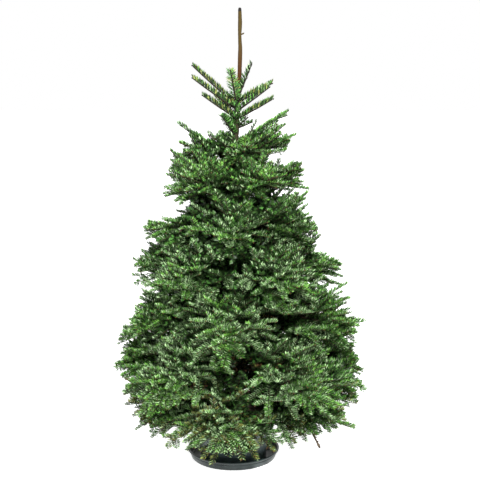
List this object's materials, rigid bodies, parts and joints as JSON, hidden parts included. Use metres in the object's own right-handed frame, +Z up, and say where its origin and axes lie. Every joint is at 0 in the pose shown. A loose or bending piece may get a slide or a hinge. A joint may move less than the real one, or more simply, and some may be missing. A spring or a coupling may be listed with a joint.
{
  "type": "potted cut fir christmas tree",
  "caption": "Undecorated fir Christmas tree with dense whorls of short-needled boughs and a bare leader, standing in a round plastic pot on a drip saucer.",
  "frame": {"origin": "centre of the saucer's flat underside, where the tree stands on the floor", "axes": "+Z up along the trunk to the leader's tip, -Y towards the tree's front, +X to the right of someone who faces the front"},
  "size_m": [0.9915, 0.9813, 1.8001],
  "materials": {
    "needles": "matte",
    "young_needles": "matte",
    "bark": "matte",
    "pot": "matte",
    "saucer": "satin",
    "soil": "matte"
  },
  "bodies": {
    "root": {"saucer": "saucer", "pot": "pot", "soil": "soil", "trunk": "bark", "bough_t1_1": "bark", "bough_t1_2": "bark", "bough_t1_3": "bark", "bough_t1_4": "bark", "bough_t1_5": "bark", "bough_t2_1": "bark", "bough_t2_2": "bark", "bough_t2_3": "bark", "bough_t2_4": "bark", "bough_t2_5": "bark", "foliage_t1_1": "needles", "foliage_t1_2": "needles", "foliage_t1_3": "needles", "foliage_t1_4": "needles", "foliage_t1_5": "needles", "foliage_t2_1": "needles", "foliage_t2_2": "needles", "foliage_t2_3": "needles", "foliage_t2_4": "needles", "foliage_t2_5": "needles", "foliage_t3_1": "needles", "foliage_t3_2": "needles", "foliage_t3_3": "needles", "foliage_t3_4": "needles", "foliage_t3_5": "needles", "foliage_t4_1": "needles", "foliage_t4_2": "needles", "foliage_t4_3": "needles", "foliage_t4_4": "needles", "foliage_t4_5": "needles", "foliage_t5_1": "needles", "foliage_t5_2": "needles", "foliage_t5_3": "needles", "foliage_t5_4": "needles", "foliage_t5_5": "needles", "foliage_t6_1": "needles", "foliage_t6_2": "needles", "foliage_t6_3": "needles", "foliage_t6_4": "needles", "foliage_t6_5": "needles", "foliage_t7_1": "needles", "foliage_t7_2": "needles", "foliage_t7_3": "needles", "foliage_t7_4": "needles", "top_shoot_1": "young_needles", "top_shoot_10": "young_needles", "top_shoot_11": "young_needles", "top_shoot_12": "young_needles", "top_shoot_2": "young_needles", "top_shoot_3": "young_needles", "top_shoot_4": "young_needles", "top_shoot_5": "young_needles", "top_shoot_6": "young_needles", "top_shoot_7": "young_needles", "top_shoot_8": "young_needles", "top_shoot_9": "young_needles"}
  },
  "joints": []
}
